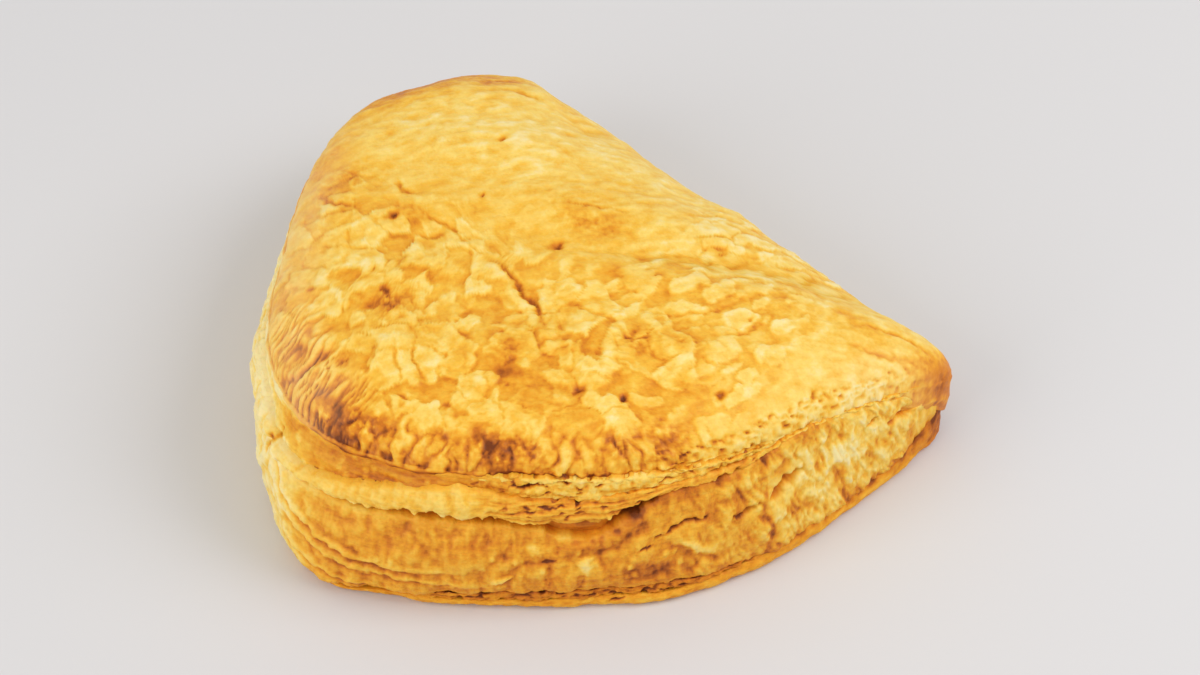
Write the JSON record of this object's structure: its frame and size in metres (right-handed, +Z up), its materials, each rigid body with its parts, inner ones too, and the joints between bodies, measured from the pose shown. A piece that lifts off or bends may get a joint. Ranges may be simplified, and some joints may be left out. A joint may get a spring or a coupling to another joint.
{
  "type": "puff pastry turnover",
  "caption": "Baked puff pastry turnover, a rounded triangle folded over once, with a browned domed lid, flaky layers at its cut edge and a flat base.",
  "frame": {"origin": "middle of the footprint's bounding box, on the surface that the base crust rests on", "axes": "+X along the folded edge, from the broad corner to the tail; the cut edge with its layers faces -X and -Y; +Z up through the lid"},
  "size_m": [0.1453, 0.1274, 0.0436],
  "materials": {
    "crust": null
  },
  "bodies": {
    "root": {"pastry": "crust"}
  },
  "joints": []
}
